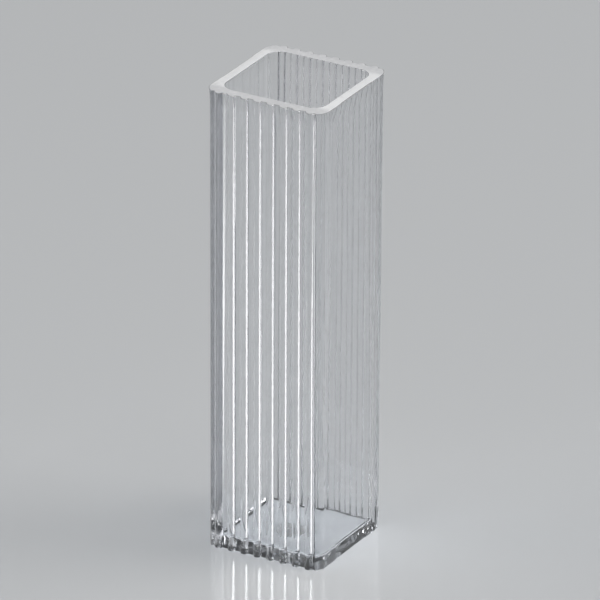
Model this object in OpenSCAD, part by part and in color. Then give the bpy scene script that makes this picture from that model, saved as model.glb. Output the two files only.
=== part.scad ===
// Square macro cuvette, injection moulded in one shot from clear polystyrene.
// Two opposite walls are smooth optical windows (facing +Y and -Y, so the light
// path runs along Y). The other two (facing +X and -X) carry round ribs for grip.
// Millimetres, +Z up, origin at the centre of the underside.

/* [Outside] */
// Height from the underside to the rim
height = 45; // [20:0.5:60]
// Width across the ribs at the rim
rim_across_ribs = 12.5; // [12:0.05:14]
// Width across the optical windows at the rim
rim_across_windows = 12.25; // [12:0.05:14]
// How much each outer wall leans in over the whole height, apart from the lip
outer_draft = 0.18; // [0.05:0.005:0.3]
// Radius of the four upright outer corners at the rim
corner_r = 1.55; // [1.2:0.05:1.7]
// Radius of the same corners at the underside, where they are tighter
corner_base = 1.25; // [1:0.05:1.7]
// Height of the lip, the top of the wall that flares out to the rim
lip_h = 1.4; // [0.5:0.1:3]
// How far the lip flares out
lip_out = 0.06; // [0.02:0.01:0.12]

/* [Cavity] */
// Opening at the rim between the ribbed walls
opening_x = 9.85; // [8:0.05:10]
// Opening at the rim between the windows, which gives a 10 mm light path near the floor
opening_y = 10.25; // [8:0.05:10.4]
// How much each inner wall leans in from the rim to the floor
inner_draft = 0.175; // [0:0.005:0.3]
// Thickness of the floor
floor_t = 0.85; // [0.6:0.05:3]
// Radius of the four upright inner corners at the rim
cavity_r = 1.3; // [0.5:0.05:2]
// Radius of the same corners at the floor, where they are tighter
cavity_base = 0.55; // [0.5:0.05:2]
// Fillet between the floor and the inner walls
floor_fillet = 0.45; // [0.05:0.05:0.45]

/* [Ribbed walls] */
// Number of ribs on each ribbed wall
ribs = 8; // [2:2:8]
// Distance from one rib to the next
rib_pitch = 1.335; // [1:0.005:1.35]
// Radius of a rib's round crest
rib_r = 0.42; // [0.4:0.01:0.5]
// How far the ribs stand out of the flat lands between them
rib_h = 0.32; // [0.1:0.01:0.35]
// Half the width of the ribbed field, at whose edges the round corners begin
ribbed_half = 5.22; // [5.15:0.01:5.25]
// How far the edge of the ribbed field widens for each millimetre outwards
edge_slope = 2; // [1:0.1:3]

/* [Optical windows] */
// Width of the polished optical field in the middle of a window
field_w = 5.4; // [3:0.1:8]
// How far the optical field is set back, so that it isn't scratched
field_depth = 0.05; // [0.01:0.01:0.2]

/* [Gate] */
// Diameter of the round gate recess in the underside
gate_d = 2.8; // [1.5:0.1:6]
// Depth of the gate recess
gate_depth = 0.3; // [0.1:0.05:0.5]
// Diameter of the cut-off gate that is left inside the recess
stub_d = 1; // [0.4:0.1:1.2]
// Length of the cut-off gate, less than the depth of the recess
stub_h = 0.15; // [0.02:0.01:0.25]

/* [Hidden] */
$fn = 96;
// Overshoot of a cutting tool past the face that it cuts
past = 0.5;
// How far down inside the straight wall the lip is rooted
lip_root = 0.2;
// Half widths of the straight wall at the rim, if it ran on without the lip
straight_x = rim_across_ribs / 2 - lip_out;
straight_y = rim_across_windows / 2 - lip_out;

// Tapered block of height h whose faces lean out by `out` from half widths x and y,
// with upright corners of radius r_low at the bottom and r_high at the top
module tapered_block(x, y, h, out, r_low, r_high) {
    shift = (out - (r_high - r_low)) / h;
    hull()
        for (sx = [-1, 1])
            for (sy = [-1, 1])
                scale([sx, sy, 1])
                    multmatrix([[1, 0, shift, x - r_low],
                                [0, 1, shift, y - r_low],
                                [0, 0, 1, 0],
                                [0, 0, 0, 1]])
                        cylinder(h = h, r1 = r_low, r2 = r_high, $fn = 48);
}

// Cutter that lowers a wall to its lands, in that wall's own frame: the crests'
// plane is x = 0, and z runs up along the leaning wall
module land_cutter(h) {
    edge = ribbed_half + edge_slope * (rib_h + past);
    translate([0, 0, -past])
        linear_extrude(h + 2 * past)
            polygon([[-rib_h, -ribbed_half], [past, -edge], [past, edge], [-rib_h, ribbed_half]]);
}

// The row of round ribs, in the same frame
module rib_row(h) {
    for (i = [0 : ribs - 1])
        translate([-rib_r, (i - (ribs - 1) / 2) * rib_pitch, -past])
            cylinder(h = h + 2 * past, r = rib_r);
}

// Cutter for the set-back optical field of a window, in the window's own frame
module field_cutter(h) {
    translate([-field_depth, -field_w / 2, -past])
        cube([1, field_w, h + 2 * past]);
}

// One stage of the wall, solid: h high, from half widths x and y, leaning out by `out`,
// with corners of radius r_low at the bottom and corner_r at the top
module stage(x, y, h, out, r_low) {
    lean = atan(out / h);
    difference() {
        tapered_block(x, y, h, out, r_low, corner_r);
        for (turn = [0, 180]) {
            rotate([0, 0, turn]) translate([x, 0, 0]) rotate([0, lean, 0]) land_cutter(h);
            rotate([0, 0, turn + 90]) translate([y, 0, 0]) rotate([0, lean, 0]) field_cutter(h);
        }
    }
    intersection() {
        for (turn = [0, 180])
            rotate([0, 0, turn]) translate([x, 0, 0]) rotate([0, lean, 0]) rib_row(h);
        translate([-x - past, -y, 0])
            cube([2 * (x + past), 2 * y, h]);
    }
}

// The outside before it is hollowed: the straight drafted wall and the flared lip
module outside() {
    slope = (lip_out + outer_draft * lip_h / height) / lip_h;
    lip_full = lip_h + lip_root;
    stage(straight_x - outer_draft, straight_y - outer_draft, height, outer_draft,
          corner_base);
    translate([0, 0, height - lip_full])
        stage(rim_across_ribs / 2 - slope * lip_full, rim_across_windows / 2 - slope * lip_full,
              lip_full, slope * lip_full, corner_r);
}

// One corner of the cavity: a disc whose lower edge is rounded by the floor fillet
module cavity_corner(r, h, edge) {
    rotate_extrude($fn = 32)
        intersection() {
            offset(r = edge, $fn = 24)
                translate([edge - r, edge])
                    square([2 * (r - edge), h]);
            square([r, h]);
        }
}

// The hollow, from the floor out through the rim, with a rounded floor edge. Each end
// is [height, shrink, corner radius, rounding of the lower edge].
module cavity() {
    hull()
        for (end = [[floor_t, 2 * inner_draft, cavity_base, floor_fillet],
                    [height, 0, cavity_r, 0.01]])
            for (sx = [-1, 1])
                for (sy = [-1, 1])
                    translate([sx * ((opening_x - end[1]) / 2 - end[2]),
                               sy * ((opening_y - end[1]) / 2 - end[2]), end[0]])
                        cavity_corner(end[2], past, end[3]);
}

// Cutter for the gate recess: a shallow ring round the cut-off gate
module gate_recess() {
    difference() {
        translate([0, 0, -past])
            cylinder(h = past + gate_depth, d = gate_d);
        translate([0, 0, gate_depth - stub_h])
            cylinder(h = stub_h + past, d = stub_d);
    }
}

module cuvette() {
    color("aliceblue", 0.35)
        difference() {
            outside();
            cavity();
            gate_recess();
        }
}

cuvette();
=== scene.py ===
# %% [markdown]
# # A ribbed cuvette in clear polystyrene
#
# The piece is a small square tube, closed at the bottom, that holds a liquid
# sample in a light beam. It is moulded in one shot, so it is one mesh here as
# well: two opposite walls are flat windows, and the other two carry rounded
# ribs that fingers can grip. This lesson draws the outline of the wall at a
# few heights, bridges the outlines into a wall, sinks the cavity, rounds the
# edges and gives it a clear plastic.
#
# The sizes come from an imported CAD model, the frame, which is loaded first. Its box is kept,
# and gives the height and the widths over the rim.

# %% Load the frame
import math

import bmesh
import bpy
from mathutils import Matrix, Vector


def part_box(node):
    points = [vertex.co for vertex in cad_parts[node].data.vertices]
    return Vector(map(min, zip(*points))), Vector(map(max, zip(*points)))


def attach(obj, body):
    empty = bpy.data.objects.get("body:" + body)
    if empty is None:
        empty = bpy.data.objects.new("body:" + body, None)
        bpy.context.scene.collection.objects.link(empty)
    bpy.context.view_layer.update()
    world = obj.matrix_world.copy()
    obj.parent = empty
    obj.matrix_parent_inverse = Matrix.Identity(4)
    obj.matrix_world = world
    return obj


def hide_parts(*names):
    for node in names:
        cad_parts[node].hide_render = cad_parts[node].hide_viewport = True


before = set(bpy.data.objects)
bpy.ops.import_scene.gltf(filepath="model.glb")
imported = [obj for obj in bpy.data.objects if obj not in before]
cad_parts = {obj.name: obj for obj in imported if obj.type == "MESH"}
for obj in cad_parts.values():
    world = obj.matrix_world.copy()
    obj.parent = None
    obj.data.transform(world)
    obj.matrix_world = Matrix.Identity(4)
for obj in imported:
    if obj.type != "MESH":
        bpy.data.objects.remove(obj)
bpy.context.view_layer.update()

MM = 0.001
low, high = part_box("cuvette")
print("frame box in mm:", [round(c / MM, 3) for c in (*low, *high)])

# %% [markdown]
# ## Driving sizes
#
# A mould tool is described by a handful of sizes, and so is this mesh. Height
# and the widths over the rim come from the frame. The rest says how the walls
# lean (a moulded part is a little wider at its open end, so that it slips off
# the core), how the ribs are shaped and how thick the floor is. Everything
# below is in millimetres, and the whole mesh is scaled to metres once, at the
# end, because small round numbers are easier to read.

# %% Sizes in millimetres
HEIGHT = high.z / MM
RIM_X = high.x / MM          # half width over the ribs, at the rim
RIM_Y = high.y / MM          # half width over the windows, at the rim
DRAFT = 0.18                 # how far each outer face leans in at the base
LIP_H = 1.4                  # the top of the wall flares out over this height
LIP_OUT = 0.06               # by this much
CORNER_R = 1.55              # outer upright corners, at the rim
CORNER_BASE = 1.25           # and at the base, where they are tighter

OPENING_X = 9.85             # cavity, at the rim, between the ribbed walls
OPENING_Y = 10.25            # cavity, at the rim, between the windows
CAVITY_DRAFT = 0.175
CAVITY_R = 1.3               # upright inner corners, at the rim
CAVITY_BASE = 0.55           # and at the floor
FLOOR_T = 0.85
FLOOR_FILLET = 0.45
RIM_ROUND = 0.07             # rounding of the rim's inner edge
RIM_EDGE, BASE_EDGE = 0.05, 0.07  # rounding of the outer edges of rim and base

RIB_PITCH = 1.335
RIBS_EACH_SIDE = 4           # of the middle of a ribbed wall
RIB_R = 0.42                 # radius of a rib's round top
RIB_H = 0.32                 # how far a rib stands out of the land beside it
LAND_END = 5.22              # the outermost lands end here, before the corner
FLANK = 2.0                  # the corner's flank leaves the land at this run to rise

FIELD_W = 5.4                # width of the polished field on a window
FIELD_IN = 0.05              # how far that field is set back
FIELD_STEP = 0.02            # width of the little slope at its edge
GATE_R, GATE_DEEP = 1.4, 0.3
GATE_EDGE = 0.03             # chamfer round the recess
STUB_R, STUB_H = 0.5, 0.15   # the cut-off gate left inside it
print("wall at the rim in mm:", round(RIM_X - OPENING_X / 2, 3), "over the ribs,",
      round(RIM_Y - OPENING_Y / 2, 3), "over the windows")

# %% [markdown]
# ## The outline at one height
#
# Ribs, corners and windows are all vertical features, so the wall is easiest
# to think of as one outline that changes a little with height. A quarter of
# it is enough: each rib is a vertex spun about the rib's own axis, the corner
# is a vertex spun about the corner's axis, and straight edges join them. Two
# mirrors then close the loop. Ribs keep their pitch at every height, while
# the corner follows both walls, so its arc starts a little later at the rim.

# %% Helpers that draw with operators
RIB_STEPS = 20
CORNER_STEPS = 14
UP = Vector((0, 0, 1))
MERGE = 1e-5                 # vertices closer than this become one
ON_LINE = 1e-4               # closer than this to the middle line counts as on it
print("steps in one rib:", RIB_STEPS, "and in one corner:", CORNER_STEPS)


def spin_arc(bm, start, centre, angle, steps):
    """Spins a new vertex about a vertical axis and returns the arc's first and last."""
    first = bm.verts.new(start)
    made = bmesh.ops.spin(bm, geom=[first], cent=centre, axis=UP, angle=angle,
                          steps=steps, use_merge=False)
    last = [g for g in made["geom_last"] if isinstance(g, bmesh.types.BMVert)][0]
    return first, last


def island(vert):
    """The vertex and everything joined to it by edges."""
    verts, edges, todo = {vert}, set(), [vert]
    while todo:
        for edge in todo.pop().link_edges:
            edges.add(edge)
            for v in edge.verts:
                if v not in verts:
                    verts.add(v)
                    todo.append(v)
    return list(verts) + list(edges)


def close_by_mirrors(bm, start):
    """Mirrors the quarter outline that starts here twice, which closes it into a loop."""
    for axis in ("X", "Y"):
        bmesh.ops.mirror(bm, geom=island(start), matrix=Matrix.Identity(4),
                         merge_dist=MERGE, axis=axis)
    return [g for g in island(start) if isinstance(g, bmesh.types.BMEdge)]


def leaning(z):
    """How far the outer faces stand out at height z, from their place at the rim."""
    climb = max(0.0, (z - (HEIGHT - LIP_H)) / LIP_H)
    return -DRAFT * (1 - z / HEIGHT) - LIP_OUT * (1 - climb ** 2)


# %% Draw the outer wall's outline at height z
def outer_outline(bm, z):
    """The closed outer outline at height z, as a list of its edges."""
    half_x, half_y = RIM_X + leaning(z), RIM_Y + leaning(z)
    land_x = half_x - RIB_H
    rib_x = half_x - RIB_R
    spread = math.acos((RIB_R - RIB_H) / RIB_R)
    tail = start_vert = bm.verts.new((land_x, 0, z))
    for i in range(RIBS_EACH_SIDE):
        y = RIB_PITCH * (i + 0.5)
        foot = y - RIB_R * math.sin(spread)
        first, last = spin_arc(bm, (land_x, foot, z), (rib_x, y, z), 2 * spread, RIB_STEPS)
        bm.edges.new((tail, first))
        tail = last
    corner_r = CORNER_BASE + (CORNER_R - CORNER_BASE) * z / HEIGHT
    corner_x, corner_y = half_x - corner_r, half_y - corner_r
    end = bm.verts.new((land_x, LAND_END, z))
    across, along = land_x - corner_x, LAND_END - corner_y
    # The flank is a straight line from the end of the land. u is where it meets
    # the corner's arc, from the quadratic for a line and a circle.
    run = across + FLANK * along
    rise = 1 + FLANK ** 2
    u = (-run + math.sqrt(run ** 2 + rise * (corner_r ** 2 - across ** 2 - along ** 2))) / rise
    start = (land_x + u, LAND_END + FLANK * u, z)
    bm.edges.new((tail, end))
    turn = math.asin((start[1] - corner_y) / corner_r)
    first, last = spin_arc(bm, start, (corner_x, corner_y, z), math.pi / 2 - turn, CORNER_STEPS)
    bm.edges.new((end, first))
    tail = last
    for x, y in ((FIELD_W / 2 + FIELD_STEP, half_y), (FIELD_W / 2, half_y - FIELD_IN),
                 (0, half_y - FIELD_IN)):
        step = bm.verts.new((x, y, z))
        bm.edges.new((tail, step))
        tail = step
    return close_by_mirrors(bm, start_vert)


bm = bmesh.new()
# Each hold is the gap from an edge to the extra outline that keeps its shading there
BASE_HOLD, RIM_HOLD, LIP_HOLD = 0.2, 0.12, 0.3
LIP_STEPS = 7
lip_z = HEIGHT - LIP_H
heights = [0, BASE_HOLD, HEIGHT / 3, 2 * HEIGHT / 3, lip_z - LIP_HOLD]
heights += [lip_z + LIP_H * i / LIP_STEPS for i in range(LIP_STEPS)]
heights += [HEIGHT - RIM_HOLD, HEIGHT]
outer = [outer_outline(bm, z) for z in heights]
print("edges in one outline:", len(outer[0]), "outlines:", len(outer))

# %% [markdown]
# ## From outlines to a wall
#
# Bridge Edge Loops joins two loops of the same count with quads. The loops
# near the rim and near the base are close together on purpose: they hold the
# smooth shading, so that the rounded edges do not bend the long flat faces in
# between, which clear plastic would show at once.

# %% Bridge the outer wall
for lower, upper in zip(outer, outer[1:]):
    bmesh.ops.bridge_loops(bm, edges=lower + upper)
print("faces in the outer wall:", len(bm.faces))

# %% [markdown]
# ## The cavity
#
# The cavity is what the core of the mould leaves behind: a rounded square that
# narrows a little towards the floor. It is drawn and bridged the same way, and
# its floor is one face that fills the lowest loop. The fillet round the floor
# is a bevel, made while the edge is still sharp and easy to find.

# %% Draw, bridge and close the cavity
def cavity_outline(bm, z, grow=0.0):
    """The closed outline of the cavity at height z, grown outwards, as its edges."""
    deep = (HEIGHT - z) / (HEIGHT - FLOOR_T)
    half_x = OPENING_X / 2 - CAVITY_DRAFT * deep + grow
    half_y = OPENING_Y / 2 - CAVITY_DRAFT * deep + grow
    tail = start_vert = bm.verts.new((half_x, 0, z))
    corner_r = CAVITY_R + (CAVITY_BASE - CAVITY_R) * deep + grow
    corner = (half_x - corner_r, half_y - corner_r, z)
    first, last = spin_arc(bm, (half_x, corner[1], z), corner, math.pi / 2, CORNER_STEPS)
    end = bm.verts.new((0, half_y, z))
    bm.edges.new((tail, first))
    bm.edges.new((last, end))
    return close_by_mirrors(bm, start_vert)


FLOOR_HOLD, MOUTH_HOLD, ROUND_HOLD = 0.6, 0.5, 0.1
ROUND_STEPS = 4
cavity_heights = [FLOOR_T, FLOOR_T + FLOOR_HOLD, HEIGHT - MOUTH_HOLD,
                  HEIGHT - RIM_ROUND - ROUND_HOLD]
inner = [cavity_outline(bm, z) for z in cavity_heights]
for i in range(ROUND_STEPS + 1):
    turn = math.pi / 2 * i / ROUND_STEPS
    inner.append(cavity_outline(bm, HEIGHT - RIM_ROUND * (1 - math.sin(turn)),
                                RIM_ROUND * (1 - math.cos(turn))))
for lower, upper in zip(inner, inner[1:]):
    bmesh.ops.bridge_loops(bm, edges=lower + upper)
bmesh.ops.contextual_create(bm, geom=inner[0])
print("faces with the cavity:", len(bm.faces))

# %% [markdown]
# ## Rim and underside
#
# Both are flat rings. A face cannot have a hole, so each ring is made of two
# halves that meet along the middle line, which keeps them large and clean.
# Under the floor, the plastic entered through a gate: the recess round the
# cut-off stub keeps that rough spot off the table.

# %% Fill a flat ring in two halves
def find_vert(edges, x_sign):
    """The vertex of a loop that lies on the middle line, on that side."""
    return next(v for e in edges for v in e.verts if abs(v.co.y) < ON_LINE
                and v.co.x * x_sign > 0)


def fill_ring(bm, outside, inside):
    """Two faces between two loops that lie at one height."""
    bridges = [bm.edges.new((find_vert(outside, s), find_vert(inside, s))) for s in (1, -1)]
    for side in (1, -1):
        half = [e for e in outside + inside + bridges
                if all(v.co.y * side > -ON_LINE for v in e.verts)]
        bmesh.ops.contextual_create(bm, geom=half)


GATE_SEGMENTS = 64


def circle(bm, radius, z):
    """The edges of a new circle at height z."""
    made = bmesh.ops.create_circle(bm, segments=GATE_SEGMENTS, radius=radius,
                                   matrix=Matrix.Translation((0, 0, z)))
    return list({e for v in made["verts"] for e in v.link_edges})


fill_ring(bm, outer[-1], inner[-1])
gate = [circle(bm, r, z) for r, z in
        ((GATE_R + GATE_EDGE, 0), (GATE_R, GATE_EDGE), (GATE_R, GATE_DEEP),
         (STUB_R, GATE_DEEP), (STUB_R, GATE_DEEP - STUB_H))]
for lower, upper in zip(gate, gate[1:]):
    bmesh.ops.bridge_loops(bm, edges=lower + upper)
bmesh.ops.contextual_create(bm, geom=gate[-1])
fill_ring(bm, outer[0], gate[0])
print("open edges:", sum(len(e.link_faces) != 2 for e in bm.edges))

# %% [markdown]
# ## Rounded edges
#
# No edge of a moulding is truly sharp. The core has a fillet where the floor
# meets the inner walls, because a sharp inside corner is where clear plastic
# would crack. The outer edges of the rim and the base are barely broken, which
# is enough to catch a thin line of light. All three are bevels on a whole loop
# of edges, so that each one keeps its width all the way round the ribs. A bevel
# makes the same faces in every run, but may list them in another order, so they
# are sorted afterwards and the mesh comes out the same each time.

# %% Round the edges
def bevel_loop(bm, edges, size, steps):
    """Rounds a whole loop of edges, to this size and in this many steps."""
    bmesh.ops.bevel(bm, geom=[e for e in edges if e.is_valid], offset=size, segments=steps,
                    profile=0.5, affect="EDGES", offset_type="OFFSET", clamp_overlap=True,
                    material=-1)


def sort_faces(bm):
    """Puts the faces in the order of the vertices that they join."""
    bm.verts.index_update()
    in_order = sorted(bm.faces, key=lambda face: sorted(v.index for v in face.verts))
    rank = {face: n for n, face in enumerate(in_order)}
    bm.faces.sort(key=lambda face: rank[face])


FILLET_STEPS, EDGE_STEPS = 6, 2
bevel_loop(bm, inner[0], FLOOR_FILLET, FILLET_STEPS)
bevel_loop(bm, outer[-1], RIM_EDGE, EDGE_STEPS)
bevel_loop(bm, outer[0], BASE_EDGE, EDGE_STEPS)
bmesh.ops.recalc_face_normals(bm, faces=bm.faces)
sort_faces(bm)
print("faces:", len(bm.faces), "open edges:", sum(len(e.link_faces) != 2 for e in bm.edges),
      "volume mm3:", round(bm.calc_volume(), 1))

# %% [markdown]
# ## Smooth faces, sharp creases
#
# Ribs and corners are made of many narrow faces, and smooth shading blends
# them into curves. The same blending would smear the rim into the wall, so an
# edge that turns by 28 degrees or more stays a crease. Then the mesh is scaled
# to metres and put in the scene as one object.

# %% Shade smooth, with the creases kept sharp
CREASE = math.radians(28)
for face in bm.faces:
    face.smooth = True
for edge in bm.edges:
    edge.smooth = edge.calc_face_angle(math.pi) < CREASE
bmesh.ops.scale(bm, vec=(MM, MM, MM), verts=bm.verts)
mesh = bpy.data.meshes.new("clear_body")
bm.to_mesh(mesh)
bm.free()
body = bpy.data.objects.new("clear_body", mesh)
bpy.context.scene.collection.objects.link(body)
print("faces:", len(mesh.polygons), "creases:", sum(e.use_edge_sharp for e in mesh.edges))

# %% [markdown]
# ## The plastic
#
# Polystyrene is almost colourless, and it bends light more than window glass:
# its index of refraction is 1.59. Two things make it look real. The first is a
# trace of absorption inside. A ray that runs along a wall, from corner to
# corner, covers many times the wall's thickness, so the long edges come out a
# little darker than the panes. Volume Absorption does exactly this, and the
# plain way, with a tinted surface, would darken thin and thick parts alike.
#
# The second is the skin of a moulding. Steel that was ground along the walls
# leaves long faint waves, which bend the bright lines in the ribs slightly.
# A noise texture stretched along the height drives a bump for this.

# %% A clear or satin plastic
POLYSTYRENE_IOR = 1.59
WAVE_DETAIL = 2


def ripples(nodes, links, size, stretch, depth):
    """A Bump node for waves of this size, stretched this many times along the height."""
    place = nodes.new("ShaderNodeTexCoord")
    longer = nodes.new("ShaderNodeMapping")
    longer.inputs["Scale"].default_value = (1, 1, 1 / stretch)
    links.new(place.outputs["Object"], longer.inputs["Vector"])
    noise = nodes.new("ShaderNodeTexNoise")
    noise.inputs["Scale"].default_value = 1 / size
    noise.inputs["Detail"].default_value = WAVE_DETAIL
    links.new(longer.outputs["Vector"], noise.inputs["Vector"])
    bump = nodes.new("ShaderNodeBump")
    bump.inputs["Strength"].default_value = 1
    bump.inputs["Distance"].default_value = depth
    links.new(noise.outputs["Fac"], bump.inputs["Height"])
    return bump


def plastic(name, colour, roughness, transmission, waves, shadow):
    """Polystyrene with this surface; shadow is the colour of the light it lets through."""
    made = bpy.data.materials.new(name)
    made.use_nodes = True
    nodes, links = made.node_tree.nodes, made.node_tree.links
    shader, out = nodes["Principled BSDF"], nodes["Material Output"]
    shader.inputs["Base Color"].default_value = (*colour, 1)
    shader.inputs["Roughness"].default_value = roughness
    shader.inputs["Transmission Weight"].default_value = transmission
    shader.inputs["IOR"].default_value = POLYSTYRENE_IOR
    links.new(ripples(nodes, links, *waves).outputs["Normal"], shader.inputs["Normal"])
    soak = nodes.new("ShaderNodeVolumeAbsorption")
    soak.inputs["Color"].default_value = (*SOAK_COLOUR, 1)
    soak.inputs["Density"].default_value = SOAK
    links.new(soak.outputs["Volume"], out.inputs["Volume"])
    lamp_ray = nodes.new("ShaderNodeLightPath")
    through = nodes.new("ShaderNodeBsdfTransparent")
    through.inputs["Color"].default_value = (*shadow, 1)
    either = nodes.new("ShaderNodeMixShader")
    links.new(lamp_ray.outputs["Is Shadow Ray"], either.inputs[0])
    links.new(shader.outputs["BSDF"], either.inputs[1])
    links.new(through.outputs["BSDF"], either.inputs[2])
    links.new(either.outputs["Shader"], out.inputs["Surface"])
    print(name, "roughness", roughness, "transmission", transmission)
    return made


# %% [markdown]
# ## Three finishes of one plastic
#
# Walls and floor have the polish of the mould. The rim is satin, so it shows as a pale band,
# and painted light and shade are also put into its colour. The gate under the floor is torn,
# not polished, and reads as a hazy spot through the floor. Each finish is a material slot,
# chosen by where a face lies.

# %% Polished, satin and torn
SOAK_COLOUR = (0.84, 0.845, 0.855)
SOAK = 300                   # density of the absorption, per metre
# Each set of waves is their size, their stretch along the height and their depth
LONG_WAVES = (2.2 * MM, 12, 0.0005 * MM)
GRAIN = (0.12 * MM, 1, 0.03 * MM)
TORN = (0.25 * MM, 1, 0.05 * MM)
mesh.materials.append(plastic(
    "clear_polystyrene", colour=(0.985, 0.989, 0.995), roughness=0.0, transmission=1.0,
    waves=LONG_WAVES, shadow=(0.86, 0.87, 0.88)))
mesh.materials.append(plastic(
    "satin_rim", colour=(0.94, 0.945, 0.955), roughness=0.5, transmission=0.2,
    waves=GRAIN, shadow=(0.6, 0.61, 0.62)))
mesh.materials.append(plastic(
    "torn_gate", colour=(0.95, 0.955, 0.965), roughness=0.38, transmission=0.85,
    waves=TORN, shadow=(0.7, 0.71, 0.72)))
RIM_SLOT, GATE_SLOT = 1, 2
NEAR = 0.004                 # a face this close to a height lies at it
for face in mesh.polygons:
    middle = Vector(face.center) / MM
    if middle.z > HEIGHT - NEAR:
        face.material_index = RIM_SLOT
    elif middle.xy.length < GATE_R and 0 < middle.z < GATE_DEEP + NEAR:
        face.material_index = GATE_SLOT

# %% [markdown]
# ## A speckled rim, with painted light and shade
#
# The rim is lit more over the windows than over the ribbed walls, and that light and shade is
# painted into its colour: a plain pale band over the windows, darker over the ribs. The speckle
# is the satin's own uneven grain. How far a point lies from the middle plane tells which wall
# it is on, so a smooth step in that distance picks the painted tone and a fine noise breaks it
# up. An image texture would do it too, but it would have to be laid out flat and would blur
# close up.

# %% Paint light and shade on the rim, and speckle it
FADE_IN, FADE_OUT = 0.7, 0.2  # mm inside and outside the opening's edge
SPECKLE_DETAIL = 3


def paint_light_and_speckle(made, bright, painted_shade, speckle, strength):
    """Paints light and shade into a finish's colour, lit over the windows and shaded over the
    ribs, and speckles it.
    """
    nodes, links = made.node_tree.nodes, made.node_tree.links
    place = nodes.new("ShaderNodeTexCoord")
    split = nodes.new("ShaderNodeSeparateXYZ")
    links.new(place.outputs["Object"], split.inputs[0])
    wall = nodes.new("ShaderNodeMath")
    wall.operation = "ABSOLUTE"
    links.new(split.outputs["X"], wall.inputs[0])
    over_ribs = nodes.new("ShaderNodeMapRange")
    over_ribs.interpolation_type = "SMOOTHSTEP"
    over_ribs.inputs["From Min"].default_value = (OPENING_X / 2 - FADE_IN) * MM
    over_ribs.inputs["From Max"].default_value = (OPENING_X / 2 + FADE_OUT) * MM
    links.new(wall.outputs[0], over_ribs.inputs["Value"])
    grain = nodes.new("ShaderNodeTexNoise")
    grain.inputs["Scale"].default_value = 1 / speckle
    grain.inputs["Detail"].default_value = SPECKLE_DETAIL
    links.new(place.outputs["Object"], grain.inputs["Vector"])
    patchy = nodes.new("ShaderNodeMath")
    patchy.operation = "MULTIPLY_ADD"
    patchy.inputs[1].default_value = strength
    patchy.inputs[2].default_value = -strength / 2
    links.new(grain.outputs["Fac"], patchy.inputs[0])
    level = nodes.new("ShaderNodeMath")
    level.operation = "ADD"
    level.use_clamp = True
    links.new(over_ribs.outputs[0], level.inputs[0])
    links.new(patchy.outputs[0], level.inputs[1])
    ramp = nodes.new("ShaderNodeValToRGB")
    ramp.color_ramp.elements[0].color = (*bright, 1)
    ramp.color_ramp.elements[1].color = (*painted_shade, 1)
    links.new(level.outputs[0], ramp.inputs["Fac"])
    links.new(ramp.outputs["Color"], nodes["Principled BSDF"].inputs["Base Color"])


# Painted light and shade on the rim: the lit tone over the windows, the shaded tone over the
# ribbed walls.
RIM_PAINTED_LIT, RIM_PAINTED_SHADE = (0.86, 0.865, 0.875), (0.65, 0.655, 0.67)
SPECKLE, SPECKLE_STRENGTH = 0.35 * MM, 2.2
paint_light_and_speckle(mesh.materials[RIM_SLOT], RIM_PAINTED_LIT, RIM_PAINTED_SHADE, SPECKLE, SPECKLE_STRENGTH)
print("faces in each finish:", [sum(f.material_index == i for f in mesh.polygons)
                                for i in range(len(mesh.materials))])

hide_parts("cuvette")
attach(body, "root")

# %% [markdown]
# ## Floor
#
# Clear plastic only shows what is around it, so the floor is part of the look.
# It is pale, with a smooth gloss, so that the ribs draw streaks below the base
# and the floor can mirror a lamp into them. A gap of a few hundredths of a
# millimetre keeps air under the base, as a real one has: with no gap the
# underside would be glued to the floor optically and turn flat grey.

# %% A pale floor
FLOOR_HALF = 6               # metres
AIR_GAP = 0.03 * MM
FLOOR_COLOUR = (0.48, 0.49, 0.50)
FLOOR_ROUGHNESS = 0.1
FLOOR_GLOSS = 0.5
floor_bm = bmesh.new()
bmesh.ops.create_grid(floor_bm, x_segments=1, y_segments=1, size=FLOOR_HALF)
bmesh.ops.translate(floor_bm, vec=(0, 0, -AIR_GAP), verts=floor_bm.verts)
floor_mesh = bpy.data.meshes.new("floor")
floor_bm.to_mesh(floor_mesh)
floor_bm.free()
floor = bpy.data.objects.new("floor", floor_mesh)
bpy.context.scene.collection.objects.link(floor)
paper = bpy.data.materials.new("studio_floor")
paper.use_nodes = True
paper_shader = paper.node_tree.nodes["Principled BSDF"]
paper_shader.inputs["Base Color"].default_value = (*FLOOR_COLOUR, 1)
paper_shader.inputs["Roughness"].default_value = FLOOR_ROUGHNESS
paper_shader.inputs["Specular IOR Level"].default_value = FLOOR_GLOSS
floor_mesh.materials.append(paper)
print("floor colour:", FLOOR_COLOUR)

# %% [markdown]
# ## Light
#
# Each rib is a small lens that squeezes a lamp into one bright line, so the
# number of strong lamps sets the number of lines. One wide, flat soft box
# behind on the left draws them, by way of the glossy floor. It is flat, and
# the floor is smooth, so that its mirror image lies in a narrow band of height:
# a camera at 15 degrees, looking towards it, sees the floor and no glare. One
# at the lamp's own height would still look straight into its mirror image. A
# larger box in front on the right, dimmer for its size, adds glints at the base,
# and the one overhead lights the floor. The world is dim on purpose: the ribs
# show it too, and a bright one would wash the lines out.

# %% World
WORLD = 0.05
world = bpy.data.worlds.new("studio")
bpy.context.scene.world = world
world.use_nodes = True
world.node_tree.nodes["Background"].inputs["Color"].default_value = (1, 1, 1, 1)
world.node_tree.nodes["Background"].inputs["Strength"].default_value = WORLD
print("world strength:", WORLD)


# %% Soft boxes
def towards(azimuth, elevation):
    """Unit vector to a place round the object; azimuth 0 is in front, 90 to the right."""
    a, e = math.radians(azimuth), math.radians(elevation)
    return Vector((math.sin(a) * math.cos(e), -math.cos(a) * math.cos(e), math.sin(e)))


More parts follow.
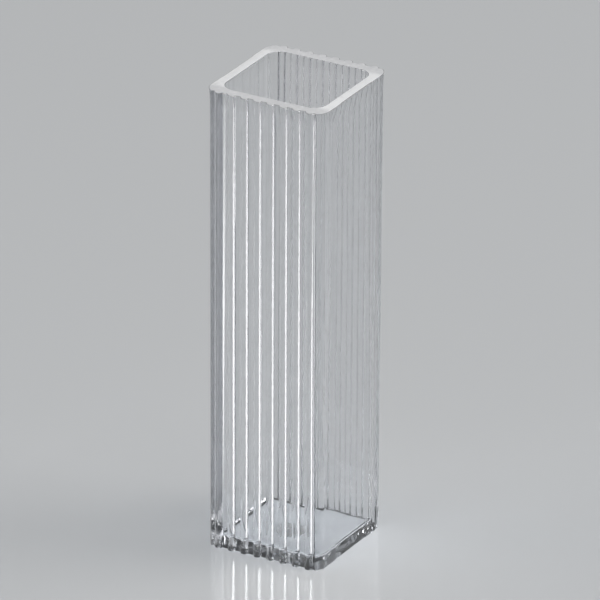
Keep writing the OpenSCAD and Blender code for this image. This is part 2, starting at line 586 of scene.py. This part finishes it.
def softbox(name, azimuth, elevation, distance, width, height, watts):
    """A rectangular lamp that faces the middle of the object."""
    lamp = bpy.data.lights.new(name, "AREA")
    lamp.shape = "RECTANGLE"
    lamp.size, lamp.size_y, lamp.energy = width, height, watts
    holder = bpy.data.objects.new(name, lamp)
    bpy.context.scene.collection.objects.link(holder)
    way = towards(azimuth, elevation)
    holder.location = way * distance + Vector((0, 0, HEIGHT * MM / 2))
    holder.rotation_euler = way.to_track_quat("Z", "Y").to_euler()
    print(name, "stands at", [round(c, 2) for c in holder.location])


# name, azimuth, elevation, then distance, width and height in metres, and watts
BOXES = (("left box", -150, 29, 1.1, 0.8, 0.3, 5.7),
         ("right box", 29, 38, 1.1, 0.6, 0.8, 6.6),
         ("top box", 0, 80, 1.4, 0.8, 0.8, 12.6))
for box in BOXES:
    softbox(*box)

# %% [markdown]
# ## Let the light run on
#
# A ray can bounce dozens of times inside a wall before it gets out. The renderer
# gives up after 12 by default and paints such a ray black, which leaves a false
# black bar along the corner. With more bounces the bar is gone.

# %% Bounces
BOUNCES = 64
cycles = bpy.context.scene.cycles
cycles.max_bounces = cycles.transmission_bounces = cycles.glossy_bounces = BOUNCES
cycles.transparent_max_bounces = BOUNCES
print("bounces:", BOUNCES)

# %% [markdown]
# ## Camera
#
# The camera stands far off with a long lens, so that the upright edges stay
# nearly parallel, and it looks down a little, into the open rim. It is aimed by
# two angles, and then shifted sideways and up until the object is framed.

# %% A long lens
VIEW = (-60.669, 24.173)     # azimuth and elevation of the camera, in degrees
ROLL = math.radians(0.2954)
AIM_RIGHT, AIM_UP = 0.394 * MM, 23.387 * MM
DISTANCE = 1088.01 * MM
SENSOR, LENS = 36, 723.82    # millimetres, as on a real camera
NEAREST, FARTHEST = 0.05, 50  # metres
back = towards(*VIEW)
right = Vector((math.cos(math.radians(VIEW[0])), math.sin(math.radians(VIEW[0])), 0))
camera_data = bpy.data.cameras.new("camera")
camera_data.sensor_width = SENSOR
camera_data.lens = LENS
camera_data.clip_start, camera_data.clip_end = NEAREST, FARTHEST
camera = bpy.data.objects.new("camera", camera_data)
bpy.context.scene.collection.objects.link(camera)
turned = Matrix((right, back.cross(right), back)).transposed().to_4x4()
place = right * AIM_RIGHT + UP * AIM_UP + back * DISTANCE
camera.matrix_world = Matrix.Translation(place) @ turned @ Matrix.Rotation(ROLL, 4, "Z")
bpy.context.scene.camera = camera
bpy.context.scene.view_settings.view_transform = "Standard"
print("camera stands at", [round(c, 3) for c in place])

# %% [markdown]
# ## Update the scene
#
# The finished mesh should fill the box of the frame that it was built round. The rounded edges
# leave it a few micrometres smaller.

# %% Update the scene
bpy.context.view_layer.update()
